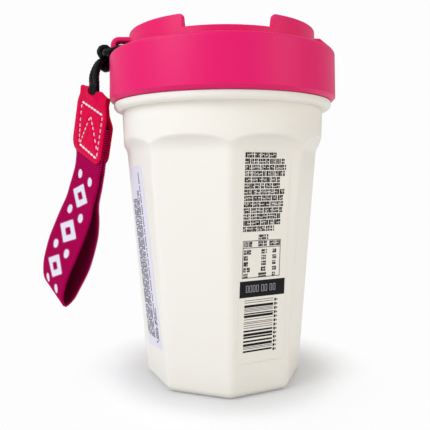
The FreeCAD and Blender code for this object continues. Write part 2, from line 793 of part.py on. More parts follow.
def check(parts):
    DOC.recompute()
    for item in DOC.Objects:
        if "Invalid" in item.State or "Error" in item.State:
            raise RuntimeError("%s failed: %s" % (item.Name, item.State))
    for part in parts:
        shape = part.Shape
        if shape.isNull() or not shape.isValid() or len(shape.Solids) != 1:
            raise RuntimeError("%s is not one sound solid" % part.Label)


def write(parts):
    os.makedirs("parts", exist_ok=True)
    for part in parts:
        part.Shape.exportStep("parts/%s.step" % part.Label)
        box = part.Shape.BoundBox
        print("%-18s %9.0f mm3  x %.1f..%.1f  y %.1f..%.1f  z %.1f..%.1f" % (
            part.Label, part.Shape.Volume, box.XMin, box.XMax, box.YMin, box.YMax, box.ZMin, box.ZMax))


PARTS = make_parts()
check(PARTS)
write(PARTS)
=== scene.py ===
# %% [markdown]
# # A milk drink bottle with a wrist strap
#
# This lesson dresses a finished construction model. The bottle and its lid
# arrive with their true shapes and sizes and only need a finish. The soft
# things on the bottle, which are a folded leather tab, a band of webbing and a
# braided cord, are modelled here in the places that the construction holds
# for them.

import math
import random

import bmesh
import bpy
from mathutils import Matrix, Vector


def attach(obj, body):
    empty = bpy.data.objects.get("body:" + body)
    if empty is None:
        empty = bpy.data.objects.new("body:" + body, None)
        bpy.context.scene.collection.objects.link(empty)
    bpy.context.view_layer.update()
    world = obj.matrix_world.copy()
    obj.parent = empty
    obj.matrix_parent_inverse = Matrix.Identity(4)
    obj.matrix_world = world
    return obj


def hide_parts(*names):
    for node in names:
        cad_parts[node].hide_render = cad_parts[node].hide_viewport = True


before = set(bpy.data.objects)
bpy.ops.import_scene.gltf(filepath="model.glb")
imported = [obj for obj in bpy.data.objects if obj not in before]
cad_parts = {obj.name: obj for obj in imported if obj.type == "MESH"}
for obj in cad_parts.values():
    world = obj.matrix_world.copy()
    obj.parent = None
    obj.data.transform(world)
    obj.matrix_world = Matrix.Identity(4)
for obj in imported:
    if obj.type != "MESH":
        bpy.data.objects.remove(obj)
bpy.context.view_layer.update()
MM = 0.001
bpy.context.scene.view_settings.view_transform = "Standard"

# %% [markdown]
# ## The camera
#
# A product picture is taken from a little above half height with a lens of
# moderate length, so that the uprights stay nearly parallel. The picture's
# middle isn't on the lens's axis, so the lens is shifted instead of tilted,
# as with a view camera.

# %% Camera
CAMERA_AT = Vector((-15.872, -226.345, 79.939)) * MM
CAMERA_TURN = math.radians(-2.2)
CAMERA_RISE = 0.0361
CAMERA_ROLL = -0.0060


def make_camera():
    lens = bpy.data.cameras.new("camera")
    lens.sensor_width = 36.0
    lens.lens = 45.80
    lens.shift_x = 0.0237
    lens.shift_y = -0.1404
    lens.clip_start = 0.01
    camera = bpy.data.objects.new("camera", lens)
    bpy.context.scene.collection.objects.link(camera)
    turn = Matrix.Rotation(CAMERA_TURN, 4, "Z")
    tilt = Matrix.Rotation(math.pi / 2 + CAMERA_RISE, 4, "X")
    roll = Matrix.Rotation(CAMERA_ROLL, 4, "Z")
    camera.matrix_world = Matrix.Translation(CAMERA_AT) @ turn @ tilt @ roll
    bpy.context.scene.camera = camera
    print("camera at", [round(c, 3) for c in CAMERA_AT], "with a lens of", lens.lens, "mm")


make_camera()

# %% [markdown]
# ## The cord's line
#
# One black braided cord makes the whole hanger. It leaves the notch in the
# leather tab, climbs into a knot beside the rim, goes round the outer leg of
# the lid's small arch, comes back to the knot and ends in the notch again. A
# soft cord has no corner, so its middle line is a NURBS spline, and the points
# below only pull at it. The strands and the loop follow the construction's
# route. In the knot, each pass makes one turn low down and one turn high up,
# which gives the knot two round lobes. Only the knot's outside is true to
# life: inside it the turns are tighter than a real cord's and run through each
# other.

# %% Cord route
CORD_MM = 2.8
UPPER_LOBE = Vector((-49.12, 5.1, 131.75))
LOWER_LOBE = Vector((-48.95, 5.1, 126.75))
STRAND_UP = [(-52.83, -2.84, 111.79), (-52.54, -4.54, 115.89), (-53.43, -1.07, 120.45),
             (-52.4, 2.23, 125.1), (-51.0, 4.5, 127.9)]
LUG_LOOP = [(-47.95, 0.4, 130.9), (-47.35, -4.85, 129.4), (-43.0, -4.5, 130.8),
            (-39.75, -4.25, 131.8), (-39.75, 4.25, 133.1), (-43.0, 4.85, 133.6), (-46.5, 5.1, 132.4)]
STRAND_DOWN = [(-50.08, 2.38, 127.78), (-51.0, -0.03, 125.25), (-51.64, -3.33, 120.85),
               (-50.79, -6.98, 115.61), (-51.23, -5.03, 110.77)]


def lobe_turn(middle, radius, near, far, first_angle, last_angle, count):
    """Points of one turn, round an axis from front to back.

    The turn starts near millimetres behind the lobe's middle and ends far
    millimetres behind it. Its angles count from the right, upward.
    """
    points = []
    for index in range(count):
        share = index / (count - 1)
        angle = math.radians(first_angle + (last_angle - first_angle) * share)
        behind = near + (far - near) * share
        out = Vector((radius * math.cos(angle), behind, radius * math.sin(angle)))
        points.append(tuple(middle + out))
    return points


CORD_ROUTE = (STRAND_UP
              + lobe_turn(LOWER_LOBE, 1.65, 1.8, 2.7, 130, -225, 14)
              + lobe_turn(UPPER_LOBE, 1.85, -0.9, -1.3, -60, 290, 14)
              + LUG_LOOP
              + lobe_turn(UPPER_LOBE, 1.8, 1.2, 1.6, -20, -410, 15)
              + lobe_turn(LOWER_LOBE, 1.65, 0.6, 0.0, 150, 440, 12)
              + STRAND_DOWN)


def cord_line(points):
    """The NURBS spline through the route, read off as close points in metres."""
    curve = bpy.data.curves.new("cord line", "CURVE")
    curve.dimensions = "3D"
    curve.resolution_u = 24
    spline = curve.splines.new("NURBS")
    spline.points.add(len(points) - 1)
    for slot, point in zip(spline.points, points):
        slot.co = (*(Vector(point) * MM), 1.0)
    spline.order_u = 3
    spline.use_endpoint_u = True
    holder = bpy.data.objects.new("cord line", curve)
    mesh = bpy.data.meshes.new_from_object(holder)
    line = [v.co.copy() for v in mesh.vertices]
    bpy.data.objects.remove(holder)
    bpy.data.meshes.remove(mesh)
    return line


def line_length(points):
    """The length of a line through the points."""
    return sum((b - a).length for a, b in zip(points, points[1:]))


def evenly(points, step):
    """Points along the line a step apart, with both ends kept."""
    total = line_length(points)
    count = max(2, round(total / step))
    wanted = [total * i / count for i in range(count + 1)]
    spots, walked, index = [], 0.0, 0
    for want in wanted:
        while index < len(points) - 2 and walked + (points[index + 1] - points[index]).length < want:
            walked += (points[index + 1] - points[index]).length
            index += 1
        span = (points[index + 1] - points[index]).length
        share = min(max((want - walked) / span, 0.0), 1.0) if span > 0 else 0.0
        spots.append(points[index].lerp(points[index + 1], share))
    return spots


CORD_LINE = evenly(cord_line(CORD_ROUTE), 0.2 * MM)
CORD_LENGTH = line_length(CORD_LINE)
print("the cord's line is %.1f mm long, in %d points" % (CORD_LENGTH / MM, len(CORD_LINE)))

# %% [markdown]
# ## Colours and nodes
#
# Colours are written as the hex values that a paint shop or a web page uses.
# Blender's sockets want linear light, so one function turns them over. A
# second function adds one node with its settings and its links, and every
# finish below is written with it.


# %% Helpers for materials
def colour(code):
    """Linear RGBA for an sRGB hex code."""
    parts = [int(code[i:i + 2], 16) / 255 for i in (0, 2, 4)]
    linear = [p / 12.92 if p <= 0.04045 else ((p + 0.055) / 1.055) ** 2.4 for p in parts]
    return (*linear, 1.0)


def add(tree, kind, links=(), **settings):
    """Add a node; links maps its inputs to sockets or to plain values."""
    node = tree.nodes.new("ShaderNode" + kind)
    for name, value in settings.items():
        setattr(node, name, value)
    for key, value in dict(links).items():
        if isinstance(value, bpy.types.NodeSocket):
            tree.links.new(value, node.inputs[key])
        else:
            node.inputs[key].default_value = value
    return node


def new_material(name):
    """A material with one Principled shader in it."""
    material = bpy.data.materials.new(name)
    material.use_nodes = True
    tree = material.node_tree
    tree.nodes.clear()
    shader = add(tree, "BsdfPrincipled")
    output = add(tree, "OutputMaterial")
    tree.links.new(shader.outputs[0], output.inputs[0])
    return material, tree, shader


def dress(obj, material):
    obj.data.materials.clear()
    obj.data.materials.append(material)


# %% [markdown]
# ## Floor and light
#
# The bottle stands on a white table in a white room. A big soft lamp stands
# at the upper left, a weaker one at the right, and the world fills the
# shadows. The floor adds a little light of its own for the camera and for
# mirror reflections only. Close to the base its colour is darker, which is a
# painted shadow, and further out it fades to plain white, so a shadow stays
# under the bottle and no horizon shows.

# %% Floor, world and lamps
FLOOR_GLOW = 0.17
# distances from the middle of the base, in metres
SHADE_FROM, SHADE_TO = 0.028, 0.052
WHITE_FROM, WHITE_TO = 0.034, 0.068


def make_floor():
    bpy.ops.mesh.primitive_plane_add(size=6.0, location=(0, 0, -0.0002))
    floor = bpy.context.object
    floor.name = "floor"
    material, tree, shader = new_material("white paper, matt")
    shader.inputs["Roughness"].default_value = 0.9
    place = add(tree, "TexCoord")
    reach = add(tree, "VectorMath", {0: place.outputs["Object"]}, operation="LENGTH")
    # close to the base the paper's colour is darkened from F4F4F4 to CCCCCC: a painted shadow
    close = add(tree, "MapRange", {0: reach.outputs[1], 1: SHADE_FROM, 2: SHADE_TO},
                interpolation_type="SMOOTHSTEP")
    tone = add(tree, "Mix", {0: close.outputs[0], 6: colour("CCCCCC"), 7: colour("F4F4F4")},
               data_type="RGBA")
    tree.links.new(tone.outputs[2], shader.inputs["Base Color"])
    path = add(tree, "LightPath")
    seen = add(tree, "Math", {0: path.outputs["Is Camera Ray"], 1: path.outputs["Is Glossy Ray"]},
               operation="MAXIMUM")
    glow = add(tree, "Math", {0: seen.outputs[0], 1: FLOOR_GLOW}, operation="MULTIPLY")
    light = add(tree, "Emission", {"Color": colour("FFFFFF"), "Strength": glow.outputs[0]})
    both = add(tree, "AddShader", {0: shader.outputs[0], 1: light.outputs[0]})
    far = add(tree, "MapRange", {0: reach.outputs[1], 1: WHITE_FROM, 2: WHITE_TO},
              interpolation_type="SMOOTHERSTEP")
    faded = add(tree, "Math", {0: far.outputs[0], 1: seen.outputs[0]}, operation="MULTIPLY")
    white = add(tree, "Emission", {"Color": colour("FDFDFD"), "Strength": 1.0})
    mixed = add(tree, "MixShader", {0: faded.outputs[0], 1: both.outputs[0], 2: white.outputs[0]})
    output = next(n for n in tree.nodes if n.bl_idname == "ShaderNodeOutputMaterial")
    tree.links.new(mixed.outputs[0], output.inputs[0])
    dress(floor, material)


def make_world():
    world = bpy.data.worlds.new("white room")
    bpy.context.scene.world = world
    world.use_nodes = True
    tree = world.node_tree
    tree.nodes.clear()
    path = add(tree, "LightPath")
    shown = add(tree, "Math", {0: path.outputs["Is Camera Ray"], 1: path.outputs["Is Transmission Ray"]},
                operation="MAXIMUM")
    room = add(tree, "Background", {"Color": colour("FFFFFF"), "Strength": 0.55})
    paper = add(tree, "Background", {"Color": colour("FDFDFD"), "Strength": 1.0})
    mixed = add(tree, "MixShader", {0: shown.outputs[0], 1: room.outputs[0], 2: paper.outputs[0]})
    add(tree, "OutputWorld", {0: mixed.outputs[0]})


def add_lamp(name, place, aim, size, power, tint):
    lamp = bpy.data.lights.new(name, "AREA")
    lamp.shape = "RECTANGLE"
    lamp.size, lamp.size_y = size
    lamp.energy = power
    lamp.color = colour(tint)[:3]
    holder = bpy.data.objects.new(name, lamp)
    bpy.context.scene.collection.objects.link(holder)
    holder.location = place
    holder.rotation_euler = (Vector(aim) - Vector(place)).to_track_quat("-Z", "Y").to_euler()


make_floor()
make_world()
add_lamp("key", (-0.55, -0.45, 0.55), (0, 0, 0.07), (0.5, 0.5), 3.9, "F2F6FF")
add_lamp("fill", (0.7, -0.5, 0.35), (0, 0, 0.07), (0.5, 0.6), 1.5, "FFF8EC")
print("floor, world and two lamps are in place")

# %% [markdown]
# ## The bottle's plastic
#
# The body is blow-moulded polypropylene, coloured a warm white in the mass.
# Light goes a little way in and comes out softened, which subsurface
# scattering gives. The mould was blasted, so the skin is satin with a faint
# pebble of a fraction of a millimetre.


# %% Bottle plastic
def moulded(name, code, roughness, pebble_mm, depth_mm):
    """Plastic from a blasted mould: one colour, a faint pebble in its skin."""
    material, tree, shader = new_material(name)
    place = add(tree, "TexCoord")
    shader.inputs["Base Color"].default_value = colour(code)
    shader.inputs["IOR"].default_value = 1.49
    pebble = add(tree, "TexNoise",
                 {"Vector": place.outputs["Object"], "Scale": 1000 / pebble_mm, "Detail": 2.0})
    relief = add(tree, "Bump", {"Height": pebble.outputs[0], "Strength": 0.6, "Distance": depth_mm * MM})
    tree.links.new(relief.outputs[0], shader.inputs["Normal"])
    cloud = add(tree, "TexNoise", {"Vector": place.outputs["Object"], "Scale": 60.0, "Detail": 3.0})
    sheen = add(tree, "MapRange", {0: cloud.outputs[0], 3: roughness - 0.05, 4: roughness + 0.05})
    tree.links.new(sheen.outputs[0], shader.inputs["Roughness"])
    return material, shader


def finish_bottle():
    material, shader = moulded("polypropylene, warm white, blow-moulded", "F3EFE5", 0.38, 0.5, 0.015)
    shader.inputs["Subsurface Weight"].default_value = 0.15
    shader.inputs["Subsurface Radius"].default_value = (0.004, 0.003, 0.002)
    shader.inputs["Subsurface Scale"].default_value = 1.0
    dress(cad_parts["bottle"], material)


def finish_lid():
    material, shader = moulded("polypropylene, deep pink, injection-moulded",
                               "E60A68", 0.40, 0.35, 0.015)
    shader.inputs["Specular IOR Level"].default_value = 0.28
    dress(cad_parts["lid"], material)


finish_bottle()
finish_lid()
print("bottle and lid have their plastics")

# %% [markdown]
# ## Labels
#
# A clear film label on the right front side carries its printing in black,
# and a white paper label on the left side carries fine grey lines. What they
# say is of no use on a library part, so the print is only blocks: rows like
# words, a small table, a dark bar and a run of stripes of random widths. Each
# block is a thin plate, one print layer above the label. The plate is modelled
# once as a box and copied to its sizes.


# %% Places on the flat sides
SIDE_LEAN = 5.033
SIDE_FOOT = 28.5
FRONT_SIDE, LEFT_SIDE = 22.5, -67.5
CLEAR_MIDDLE, PAPER_MIDDLE = 50.2, 48.6


def side_frame(azimuth, shift, height, skew):
    """The frame of one label: X to the right, Z up the side, -Y outward."""
    return (Matrix.Rotation(math.radians(azimuth), 4, "Z")
            @ Matrix.Translation(Vector((0, -SIDE_FOOT, 0)) * MM)
            @ Matrix.Rotation(math.radians(SIDE_LEAN), 4, "X")
            @ Matrix.Translation(Vector((shift, 0, height)) * MM)
            @ Matrix.Rotation(math.radians(-skew), 4, "Y"))


CLEAR_PLACE = side_frame(FRONT_SIDE, 0.0, CLEAR_MIDDLE, 0.0)
PAPER_PLACE = side_frame(LEFT_SIDE, -1.8, PAPER_MIDDLE, 5.5)
LABEL_MM = 0.15
INK_MM = 0.03


def select_only(obj):
    bpy.ops.object.select_all(action="DESELECT")
    obj.select_set(True)
    bpy.context.view_layer.objects.active = obj


def settle(obj, place):
    """Put a piece in its place and leave the place in its mesh."""
    select_only(obj)
    obj.matrix_world = place
    bpy.ops.object.transform_apply(location=True, rotation=True, scale=True)


def print_blocks(name, blocks, place, material):
    """Blocks are (left, right, low, high) in millimetres on the label."""
    bpy.ops.object.select_all(action="DESELECT")
    bpy.ops.mesh.primitive_cube_add(size=1.0)
    stamp = bpy.context.object
    plates = []
    for left, right, low, high in blocks:
        plate = stamp.copy()
        plate.data = stamp.data.copy()
        bpy.context.scene.collection.objects.link(plate)
        middle = Vector(((left + right) / 2, -LABEL_MM - INK_MM / 2 + 0.005, (low + high) / 2)) * MM
        spread = Vector((right - left, INK_MM, high - low)) * MM
        plate.matrix_world = Matrix.Translation(middle) @ Matrix.Diagonal((*spread, 1.0))
        plates.append(plate)
    bpy.data.objects.remove(stamp)
    bpy.ops.object.select_all(action="DESELECT")
    for plate in plates:
        plate.select_set(True)
    bpy.context.view_layer.objects.active = plates[0]
    bpy.ops.object.transform_apply(location=True, rotation=True, scale=True)
    bpy.ops.object.join()
    piece = bpy.context.object
    piece.name = name
    settle(piece, place)
    dress(piece, material)
    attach(piece, "root")
    print(name, "has", len(blocks), "blocks")
    return piece


# %% Rows of words
def words(draw, left, right, low, high, sign, gap):
    """A row of word-like groups of small blocks between left and right."""
    blocks = []
    cursor = left
    while cursor < right - sign:
        for _ in range(draw.randint(2, 6)):
            wide = sign * draw.uniform(0.7, 1.25)
            if cursor + wide > right:
                break
            cut = low + (high - low) * draw.uniform(0.35, 0.65)
            thin = (high - low) * 0.07
            parts = [(low, cut - thin), (cut + thin, high)] if draw.random() < 0.75 else [(low, high)]
            for a, b in parts:
                slim = wide * draw.choice((0.0, 0.0, 0.25))
                blocks.append((cursor + slim / 2, cursor + wide - slim / 2, a, b))
            cursor += wide + sign * 0.13
        cursor += gap
    return blocks


def turned(blocks):
    """The same blocks with their rows running down the label."""
    return [(low, high, -right, -left) for left, right, low, high in blocks]


def box_outline(left, right, low, high, line):
    """Four thin blocks round a rectangle."""
    return [(left, right, low, low + line), (left, right, high - line, high),
            (left, left + line, low, high), (right - line, right, low, high)]


# %% Print on the clear label
def clear_print_blocks():
    draw = random.Random(11)
    middle = CLEAR_MIDDLE
    black, light, grey = [], [], []
    ends = [4.6, 8.2, 8.6, 8.5, 6.6, 6.4, 8.1, 8.0, 7.9, 7.6, 7.4, 7.3, 4.9]
    for row, end in enumerate(ends):
        top = 87.9 - middle - row * 2.18
        black += words(draw, -9.0, end - 0.5, top - 1.85, top, 0.62, 0.24)
    black += words(draw, -2.6, 1.6, 56.9 - middle, 58.7 - middle, 0.62, 0.3)
    grey += box_outline(-8.8, 6.7, 43.3 - middle, 56.7 - middle, 0.25)
    grey += [(-8.8, 6.7, 54.0 - middle, 54.25 - middle)]
    for a, b in ((-8.3, -4.9), (-2.6, 0.9), (2.0, 6.4)):
        black += words(draw, a, b, 54.5 - middle, 56.3 - middle, 0.6, 0.2)
    for row in range(5):
        top = 53.4 - middle - row * 2.1
        black += words(draw, -8.3, draw.choice((-6.2, -5.2, -4.6)), top - 1.6, top, 0.55, 0.3)
        black += words(draw, draw.choice((-2.2, -1.2)), 1.2, top - 1.6, top, 0.55, 0.3)
        black += words(draw, 3.4, 5.2, top - 1.5, top - 0.1, 0.6, 0.3)
    black += [(-9.5, 9.0, 36.4 - middle, 42.3 - middle)]
    high = 35.4 - middle
    low = 17.0 - middle
    stripe = high
    while stripe > low:
        thick = draw.choice((0.22, 0.22, 0.42, 0.62, 0.9))
        target = black if thick > 0.3 else grey
        target.append((-7.4, 4.5, stripe - thick, stripe))
        stripe -= thick + draw.choice((0.28, 0.3, 0.55, 0.75))
    for step in range(13):
        top = 35.2 - middle - step * 1.52
        black += [(4.9, 5.6, top - 1.0, top), (5.8, 6.2, top - 0.8, top - 0.2)]
    cursor = -7.0
    for group in (4, 2, 2):
        for _ in range(group):
            light += box_outline(cursor, cursor + 1.05, 38.2 - middle, 40.7 - middle, 0.22)
            cursor += 1.38
        cursor += 0.7
    return black, grey, light


def ink(name, code):
    material, tree, shader = new_material(name)
    place = add(tree, "TexCoord")
    speckle = add(tree, "TexNoise",
                  {"Vector": place.outputs["Object"], "Scale": 1000 / 0.4, "Detail": 1.0})
    base = colour(code)
    paler = (*(c + (0.5 - c) * 0.012 for c in base[:3]), 1.0)
    shade = add(tree, "Mix", {0: speckle.outputs[0], 6: base, 7: paler}, data_type="RGBA")
    tree.links.new(shade.outputs[2], shader.inputs["Base Color"])
    shader.inputs["Roughness"].default_value = 0.45
    shader.inputs["Specular IOR Level"].default_value = 0.15
    return material


BLACK_INK = ink("thermal print, black", "0B0C10")
GREY_INK = ink("thermal print, thin lines", "55565A")
PAPER_INK = ink("office print, grey violet", "3E3C4C")
LIGHT_INK = ink("unprinted gaps in the bar", "9C9CA4")


def print_clear_label():
    black, grey, light = clear_print_blocks()
    print_blocks("clear_label_print", black, CLEAR_PLACE, BLACK_INK)
    print_blocks("clear_label_lines", grey, CLEAR_PLACE, GREY_INK)
    over = print_blocks("clear_label_gaps", light, CLEAR_PLACE, LIGHT_INK)
    lift = CLEAR_PLACE.to_3x3() @ Vector((0, -0.02 * MM, 0))
    settle(over, Matrix.Translation(lift))


def print_paper_label():
    draw = random.Random(5)
    blocks = []
    lines = [(2.9, 32.5, -26.0, 0.9), (5.0, -19.5, -33.0, 0.75),
             (3.9, -21.5, -33.0, 0.75), (2.8, -27.5, -33.0, 0.75)]
    lines += [(0.6 - 1.15 * i, 25.5 - 3.0 * (i > 1), -31.5, 0.8) for i in range(7)]
    for across, top, bottom, tall in lines:
        row = words(draw, -top, -bottom, across - tall / 2, across + tall / 2, 0.72, 0.6)
        blocks += turned(row)
    print_blocks("paper_label_print", blocks, PAPER_PLACE, PAPER_INK)


print_clear_label()
print_paper_label()


# %% Label stocks
def finish_labels():
    film, _ = moulded("polyester film, clear, on warm white", "F2EDE2", 0.24, 1.2, 0.004)
    dress(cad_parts["clear_label"], film)
    paper, _ = moulded("coated paper, cool white", "E6E4F0", 0.55, 0.25, 0.006)
    dress(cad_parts["paper_label"], paper)


finish_labels()
print("both labels have their stock and their print")

# %% [markdown]
# ## A surface from a grid
#
# The tab and the webbing are strips. Each starts as Blender's flat grid. Every
# crossing of the grid is then moved to its place by its column and its row,
# and a Solidify modifier gives the strip its thickness.

# %% Strips
STRAP_PLACE = (Matrix.Translation(Vector((-52.235, -5.47, 114.24)) * MM)
               @ Matrix.Rotation(math.radians(-54.6), 4, "Z")
               @ Matrix.Rotation(math.radians(2.0), 4, "X")
               @ Matrix.Rotation(math.radians(20.7), 4, "Y"))


def make_strip(name, columns, rows, placed, measured):
    """A grid whose crossings lie where placed(column, row) says, in millimetres."""
    bpy.ops.object.select_all(action="DESELECT")
    bpy.ops.mesh.primitive_grid_add(x_subdivisions=columns, y_subdivisions=rows, size=1.0)
    strip = bpy.context.object
    strip.name = name
    mesh = strip.data
    spots = [(round((v.co.x + 0.5) * columns), round((v.co.y + 0.5) * rows)) for v in mesh.vertices]
    for vertex, spot in zip(mesh.vertices, spots):
        vertex.co = Vector(placed(*spot)) * MM
    flat = mesh.uv_layers[0] if mesh.uv_layers else mesh.uv_layers.new()
    flat.name = "laid flat"
    for loop in mesh.loops:
        flat.data[loop.index].uv = measured(*spots[loop.vertex_index])
    mesh.polygons.foreach_set("use_smooth", [True] * len(mesh.polygons))
    return strip, spots


def thicken(strip, thickness, **settings):
    """Give the strip its thickness and leave it in the mesh."""
    select_only(strip)
    solid = strip.modifiers.new("thickness", "SOLIDIFY")
    solid.thickness = thickness * MM
    solid.offset = 0.0
    for key, value in settings.items():
        setattr(solid, key, value)
    bpy.ops.object.modifier_apply(modifier=solid.name)


def ease(value):
    """A smooth step from 0 to 1."""
    value = min(max(value, 0.0), 1.0)
    return value * value * (3 - 2 * value)


# %% [markdown]
# ## The leather tab
#
# A strip of red leather is folded over the cord and sewn through both ends of
# the webbing. It narrows at the fold, and a notch in the fold lets the cord
# out. Each row of thread pulls the leather down a little, so that the fields
# between the rows look padded. The ridge swells beside the notch, where the
# cord pulls, and droops at its ends.

# %% Tab
TAB_SHEET = 0.95
TAB_LOW, TAB_WIDE, TAB_NECK, TAB_CORNER = -28.1, 13.6, 11.9, 4.6
NOTCH_LOW, NOTCH_HALF = -2.1, 3.05
# the rows of thread, each from one (x, z) point to another
SEAM_ROWS = [((-8.4, -7.0), (10.6, -7.65)), ((-5.85, -24.8), (10.2, -25.7)),
             ((-8.6, -7.5), (-8.0, -16.0)), ((-8.0, -16.0), (-6.5, -24.5)),
             ((10.7, -7.9), (10.6, -25.2)),
             ((0.7, -10.7), (4.92, -15.9)), ((4.92, -15.9), (10.0, -22.6)),
             ((0.45, -11.0), (-2.2, -16.2)), ((-2.2, -16.2), (-5.7, -24.3))]


def tab_rows():
    """(y, z) of the middle of the leather, from the front's foot to the back's."""
    corner = [math.radians(a) for a in range(90, -1, -9)]
    leg = [TAB_LOW + TAB_CORNER * (1 - math.sin(a)) for a in corner]
    while leg[-1] < -13.0:
        leg.append(leg[-1] + 0.42)
    while leg[-1] < NOTCH_LOW - 0.3:
        leg.append(leg[-1] + 0.40)
    leg[-1] = NOTCH_LOW
    leg += [NOTCH_LOW + 0.38, NOTCH_LOW + 0.77, -0.95]
    half = TAB_SHEET / 2
    front = [(half, z) for z in leg]
    fold = [(0.95 - 0.5 * math.cos(math.radians(a)), -0.95 + 0.5 * math.sin(math.radians(a)))
            for a in range(18, 163, 18)]
    back = [(1.45 + 2.2 * ease((-6.5 - z) / 6.5), z) for z in reversed(leg)]
    return front + fold + back


def half_width(z):
    """Half the tab's width at a height."""
    wide = TAB_NECK + (TAB_WIDE - TAB_NECK) * ease((-2.6 - z) / 6.0)
    into = TAB_LOW + TAB_CORNER - z
    if into > 0:
        wide = TAB_WIDE - TAB_CORNER + math.sqrt(max(TAB_CORNER ** 2 - into ** 2, 0.0))
    return wide


def seam_gap(x, z):
    """How far a point on the tab is from the nearest row of thread."""
    best = 99.0
    for (x0, z0), (x1, z1) in SEAM_ROWS:
        along = Vector((x1 - x0, z1 - z0))
        share = min(max(Vector((x - x0, z - z0)).dot(along) / along.length_squared, 0.0), 1.0)
        best = min(best, (Vector((x, z)) - Vector((x0, z0)) - along * share).length)
    return best


def tab_relief(x, z):
    """How far the leather is pressed in at a point."""
    gap = seam_gap(x, z)
    edge = max(abs(x) - half_width(z) + 1.5, 0.0)
    foot = max(TAB_LOW + 1.5 - z, 0.0)
    rolled = 0.32 * (max(edge, foot) / 1.5) ** 2
    inside = 0.16 * math.exp(-((gap - 2.2) / 1.3) ** 2)
    return 0.24 * math.exp(-(gap / 0.75) ** 2) - inside + rolled


def cord_swell(x, z):
    """How far the leather stands out over the cord's ends, beside and below the notch."""
    beside = max(abs(x) - 2.4, 0.0) / 1.7
    below = max(NOTCH_LOW - z, 0.0) / 1.4
    return 0.85 * math.exp(-(beside ** 2 + below ** 2) / 2)


def make_tab():
    profile = tab_rows()
    outer, inner = 24, 10
    columns = 2 * outer + inner
    lengths = [0.0]
    for (y0, z0), (y1, z1) in zip(profile, profile[1:]):
        lengths.append(lengths[-1] + math.hypot(y1 - y0, z1 - z0))

    def across(column, z):
        notch = NOTCH_HALF + 0.6 * max(0.0, (z - NOTCH_LOW) / -NOTCH_LOW)
        wide = half_width(z)
        if column < outer:
            return -wide + (wide - notch) * column / outer
        if column > outer + inner:
            return notch + (wide - notch) * (column - outer - inner) / outer
        return -notch + 2 * notch * (column - outer) / inner

    def placed(column, row):
        y, z = profile[row]
        x = across(column, z)
        side = -1 if row > len(profile) // 2 else 1
        y += side * tab_relief(x, z) * ease((-0.95 - z) / 4.0)
        y -= side * cord_swell(x, z) * min(abs(row - len(profile) // 2) / 3.0, 1.0)
        swell = 0.4 * math.exp(-((abs(x) - 4.9) / 1.7) ** 2) - 0.55 * ease((abs(x) - 6.0) / 6.0)
        z += swell * math.exp(min(z + 0.95, 0.0) / 3.0)
        if outer <= column <= outer + inner and abs(profile[row][1] - NOTCH_LOW) < 0.01:
            z += 0.75 * (abs(x) / NOTCH_HALF) ** 4
        return x, y, z

    def measured(column, row):
        return across(column, profile[row][1]) * MM, lengths[row] * MM

    tab, spots = make_strip("leather_tab", columns, len(profile) - 1, placed, measured)
    cut = bmesh.new()
    cut.from_mesh(tab.data)
    cut.faces.ensure_lookup_table()
    gone = []
    for face in cut.faces:
        cells = [spots[v.index] for v in face.verts]
        low = min(profile[row][1] for column, row in cells)
        if all(outer <= column <= outer + inner for column, row in cells) and low > NOTCH_LOW - 0.01:
            gone.append(face)
    bmesh.ops.delete(cut, geom=gone, context="FACES")
    cut.to_mesh(tab.data)
    cut.free()
    tab.data.materials.append(LEATHER_FACE)
    tab.data.materials.append(LEATHER_EDGE)
    thicken(tab, TAB_SHEET, material_offset_rim=1)
    bevel = tab.modifiers.new("soft edges", "BEVEL")
    bevel.width = 0.22 * MM
    bevel.segments = 2
    bevel.limit_method = "ANGLE"
    bevel.angle_limit = math.radians(50)
    select_only(tab)
    bpy.ops.object.modifier_apply(modifier=bevel.name)
    bpy.ops.object.shade_smooth_by_angle(angle=math.radians(45))
    settle(tab, STRAP_PLACE)
    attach(tab, "root")
    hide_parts("strap_tab")
    print("the tab has", len(tab.data.polygons), "faces and was cut %.1f mm long" % lengths[-1])
    return tab


# %% Leather
def leather_face():
    material, tree, shader = new_material("cow leather, red, fine grain")
    place = add(tree, "TexCoord")
    grain = add(tree, "TexVoronoi", {"Vector": place.outputs["Object"], "Scale": 1000 / 0.55},
                feature="SMOOTH_F1")
    crease = add(tree, "TexNoise",
                 {"Vector": place.outputs["Object"], "Scale": 1000 / 2.6, "Detail": 4.0})
    height = add(tree, "Math", {0: grain.outputs["Distance"], 1: crease.outputs[0]}, operation="ADD")
    relief = add(tree, "Bump", {"Height": height.outputs[0], "Strength": 0.55, "Distance": 0.09 * MM})
    tree.links.new(relief.outputs[0], shader.inputs["Normal"])
    wear = add(tree, "TexNoise", {"Vector": place.outputs["Object"], "Scale": 1000 / 9.0, "Detail": 3.0})
    tone = add(tree, "Mix", {0: wear.outputs[0], 6: colour("CC003C"), 7: colour("DE0049")},
               data_type="RGBA")
    tree.links.new(tone.outputs[2], shader.inputs["Base Color"])
    sheen = add(tree, "MapRange", {0: crease.outputs[0], 3: 0.38, 4: 0.56})
    tree.links.new(sheen.outputs[0], shader.inputs["Roughness"])
    shader.inputs["Specular IOR Level"].default_value = 0.03
    return material


def leather_edge():
    material, tree, shader = new_material("cow leather, cut edge, darker red")
    place = add(tree, "TexCoord")
    fibre = add(tree, "TexNoise",
                {"Vector": place.outputs["Object"], "Scale": 1000 / 0.3, "Detail": 4.0})
    # the cut edge is coloured a darker red than the face
    tone = add(tree, "Mix", {0: fibre.outputs[0], 6: colour("8A0016"), 7: colour("C0002A")},
               data_type="RGBA")
    tree.links.new(tone.outputs[2], shader.inputs["Base Color"])
    relief = add(tree, "Bump", {"Height": fibre.outputs[0], "Strength": 0.7, "Distance": 0.06 * MM})
    tree.links.new(relief.outputs[0], shader.inputs["Normal"])
    shader.inputs["Roughness"].default_value = 0.6
    shader.inputs["Specular IOR Level"].default_value = 0.03
    return material


LEATHER_FACE, LEATHER_EDGE = leather_face(), leather_edge()
TAB = make_tab()

